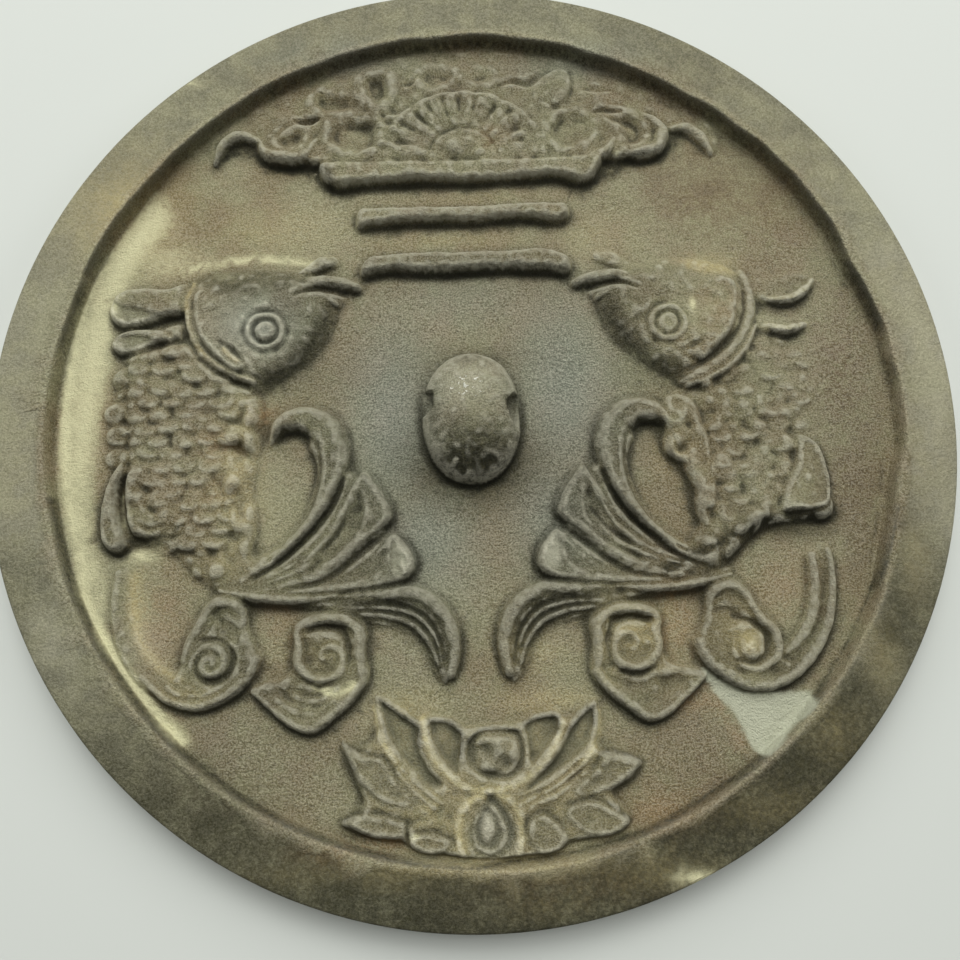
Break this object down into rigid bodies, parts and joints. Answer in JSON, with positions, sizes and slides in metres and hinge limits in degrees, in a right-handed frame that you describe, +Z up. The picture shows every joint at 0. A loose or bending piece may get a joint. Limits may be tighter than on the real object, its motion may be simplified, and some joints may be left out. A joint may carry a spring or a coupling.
{
  "type": "cast bronze mirror",
  "caption": "Round cast bronze mirror with a flat raised rim, a pierced central knob and relief of paired fish, clouds, lotus, bars and a flower.",
  "frame": {"origin": "centre of the plain face, which lies down", "axes": "+Z up out of the decorated back, +Y from the lotus to the flower, +X to the right with the flower at the far side"},
  "size_m": [0.17, 0.17, 0.0104],
  "materials": {
    "bronze": "worn, patinated cast bronze with earthy deposits"
  },
  "bodies": {
    "root": {"mirror": "bronze"}
  },
  "joints": []
}
